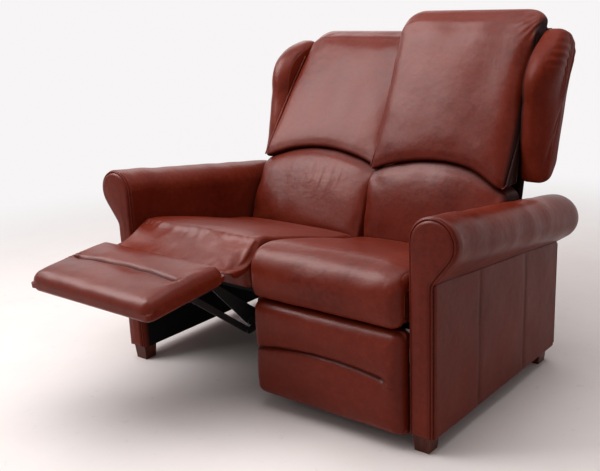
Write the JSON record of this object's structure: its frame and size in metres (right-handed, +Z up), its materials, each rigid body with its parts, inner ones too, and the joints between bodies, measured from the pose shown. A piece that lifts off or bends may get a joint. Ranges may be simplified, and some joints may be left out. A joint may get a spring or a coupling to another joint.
{
  "type": "reclining sofa",
  "caption": "Leather reclining loveseat with rolled arms, winged split backs that tip, and footrests that swing out on steel links.",
  "frame": {"origin": "on the floor, under the middle of the whole sofa as it is posed, with the right footrest out", "axes": "+X towards the left arm of someone who sits on it, +Y towards the back, +Z up"},
  "size_m": [1.334, 1.4958, 1.105],
  "materials": {
    "leather": "semi-gloss, fine grain, red-brown",
    "outside_leather": "satin, smooth, darker red-brown",
    "foot_wood": "semi-gloss red-brown stain",
    "frame_wood": "bare plywood and sawn softwood",
    "webbing": "woven elastic tape",
    "black_steel": "black powder coat, satin",
    "link_steel": "black oxide, satin"
  },
  "bodies": {
    "base": {"left_arm": "leather", "right_arm": "leather", "left_arm_facing": "leather", "right_arm_facing": "leather", "centre_support": "frame_wood", "rear_panel": "outside_leather", "foot_left_front": "foot_wood", "foot_right_front": "foot_wood", "foot_centre_front": "foot_wood", "foot_left_rear": "foot_wood", "foot_right_rear": "foot_wood", "foot_centre_rear": "foot_wood", "left_seat_frame": "frame_wood", "left_seat_webbing": "webbing", "left_seat_cushion": "leather", "left_apron": "leather", "left_inner_side_plate": "black_steel", "left_outer_side_plate": "black_steel", "left_cross_tube": "black_steel", "right_seat_frame": "frame_wood", "right_seat_webbing": "webbing", "right_seat_cushion": "leather", "right_apron": "leather", "right_inner_side_plate": "black_steel", "right_outer_side_plate": "black_steel", "right_cross_tube": "black_steel"},
    "left_footrest": {"left_footrest_pad": "leather", "left_footrest_board": "frame_wood", "left_footrest_carrier": "black_steel"},
    "left_drive": {"left_drive_frame": "black_steel"},
    "left_followers": {"left_inner_follower": "link_steel", "left_outer_follower": "link_steel"},
    "left_upper_links": {"left_inner_upper_link": "link_steel", "left_outer_upper_link": "link_steel"},
    "left_lower_links": {"left_inner_lower_link": "link_steel", "left_outer_lower_link": "link_steel"},
    "left_back": {"left_back_frame": "frame_wood", "left_back_shell": "leather", "left_back_hinge": "black_steel", "left_upper_pad": "leather", "left_lumbar_pad": "leather", "left_wing": "leather"},
    "right_footrest": {"right_footrest_pad": "leather", "right_footrest_board": "frame_wood", "right_footrest_carrier": "black_steel"},
    "right_drive": {"right_drive_frame": "black_steel"},
    "right_followers": {"right_inner_follower": "link_steel", "right_outer_follower": "link_steel"},
    "right_upper_links": {"right_inner_upper_link": "link_steel", "right_outer_upper_link": "link_steel"},
    "right_lower_links": {"right_inner_lower_link": "link_steel", "right_outer_lower_link": "link_steel"},
    "right_back": {"right_back_frame": "frame_wood", "right_back_shell": "leather", "right_back_hinge": "black_steel", "right_upper_pad": "leather", "right_lumbar_pad": "leather", "right_wing": "leather"}
  },
  "joints": [
    {"name": "left_footrest_swing", "type": "hinge", "parent": "base", "child": "left_footrest", "pos_m": [0.262, -0.3394, 0.4507], "axis": [-1, 0, 0], "range_deg": [0, 84.5], "deforming": ["left_apron"]},
    {"name": "left_drive_swing", "type": "hinge", "parent": "base", "child": "left_drive", "pos_m": [0.262, -0.114, 0.276], "axis": [-1, 0, 0], "range_deg": [0, 84.5]},
    {"name": "left_follower_swing", "type": "hinge", "parent": "base", "child": "left_followers", "pos_m": [0.262, -0.194, 0.294], "axis": [-1, 0, 0], "range_deg": [0, 84.5]},
    {"name": "left_upper_link_swing", "type": "hinge", "parent": "left_drive", "child": "left_upper_links", "pos_m": [0.262, -0.0736, 0.1493], "axis": [-1, 0, 0], "range_deg": [-84.5, 0]},
    {"name": "left_lower_link_swing", "type": "hinge", "parent": "left_drive", "child": "left_lower_links", "pos_m": [0.262, -0.0736, 0.0603], "axis": [-1, 0, 0], "range_deg": [-84.5, 0]},
    {"name": "left_back_recline", "type": "hinge", "parent": "base", "child": "left_back", "pos_m": [0.262, 0.254, 0.27], "axis": [-1, 0, 0], "range_deg": [0, 25]},
    {"name": "right_footrest_swing", "type": "hinge", "parent": "base", "child": "right_footrest", "pos_m": [-0.262, -0.3394, 0.4507], "axis": [-1, 0, 0], "range_deg": [-84.5, 0], "deforming": ["right_apron"]},
    {"name": "right_drive_swing", "type": "hinge", "parent": "base", "child": "right_drive", "pos_m": [-0.262, -0.114, 0.276], "axis": [-1, 0, 0], "range_deg": [-84.5, 0]},
    {"name": "right_follower_swing", "type": "hinge", "parent": "base", "child": "right_followers", "pos_m": [-0.262, -0.194, 0.294], "axis": [-1, 0, 0], "range_deg": [-84.5, 0]},
    {"name": "right_upper_link_swing", "type": "hinge", "parent": "right_drive", "child": "right_upper_links", "pos_m": [-0.262, -0.23625, 0.22364], "axis": [-1, 0, 0], "range_deg": [0, 84.5]},
    {"name": "right_lower_link_swing", "type": "hinge", "parent": "right_drive", "child": "right_lower_links", "pos_m": [-0.262, -0.32484, 0.21511], "axis": [-1, 0, 0], "range_deg": [0, 84.5]},
    {"name": "right_back_recline", "type": "hinge", "parent": "base", "child": "right_back", "pos_m": [-0.262, 0.254, 0.27], "axis": [-1, 0, 0], "range_deg": [-13.5, 11.5]}
  ],
  "couplings": [
    {"joint": "left_drive_swing", "follows": "left_footrest_swing", "ratio": 1},
    {"joint": "left_follower_swing", "follows": "left_footrest_swing", "ratio": 1},
    {"joint": "left_upper_link_swing", "follows": "left_footrest_swing", "ratio": -1},
    {"joint": "left_lower_link_swing", "follows": "left_footrest_swing", "ratio": -1},
    {"joint": "right_drive_swing", "follows": "right_footrest_swing", "ratio": 1},
    {"joint": "right_follower_swing", "follows": "right_footrest_swing", "ratio": 1},
    {"joint": "right_upper_link_swing", "follows": "right_footrest_swing", "ratio": -1},
    {"joint": "right_lower_link_swing", "follows": "right_footrest_swing", "ratio": -1}
  ]
}
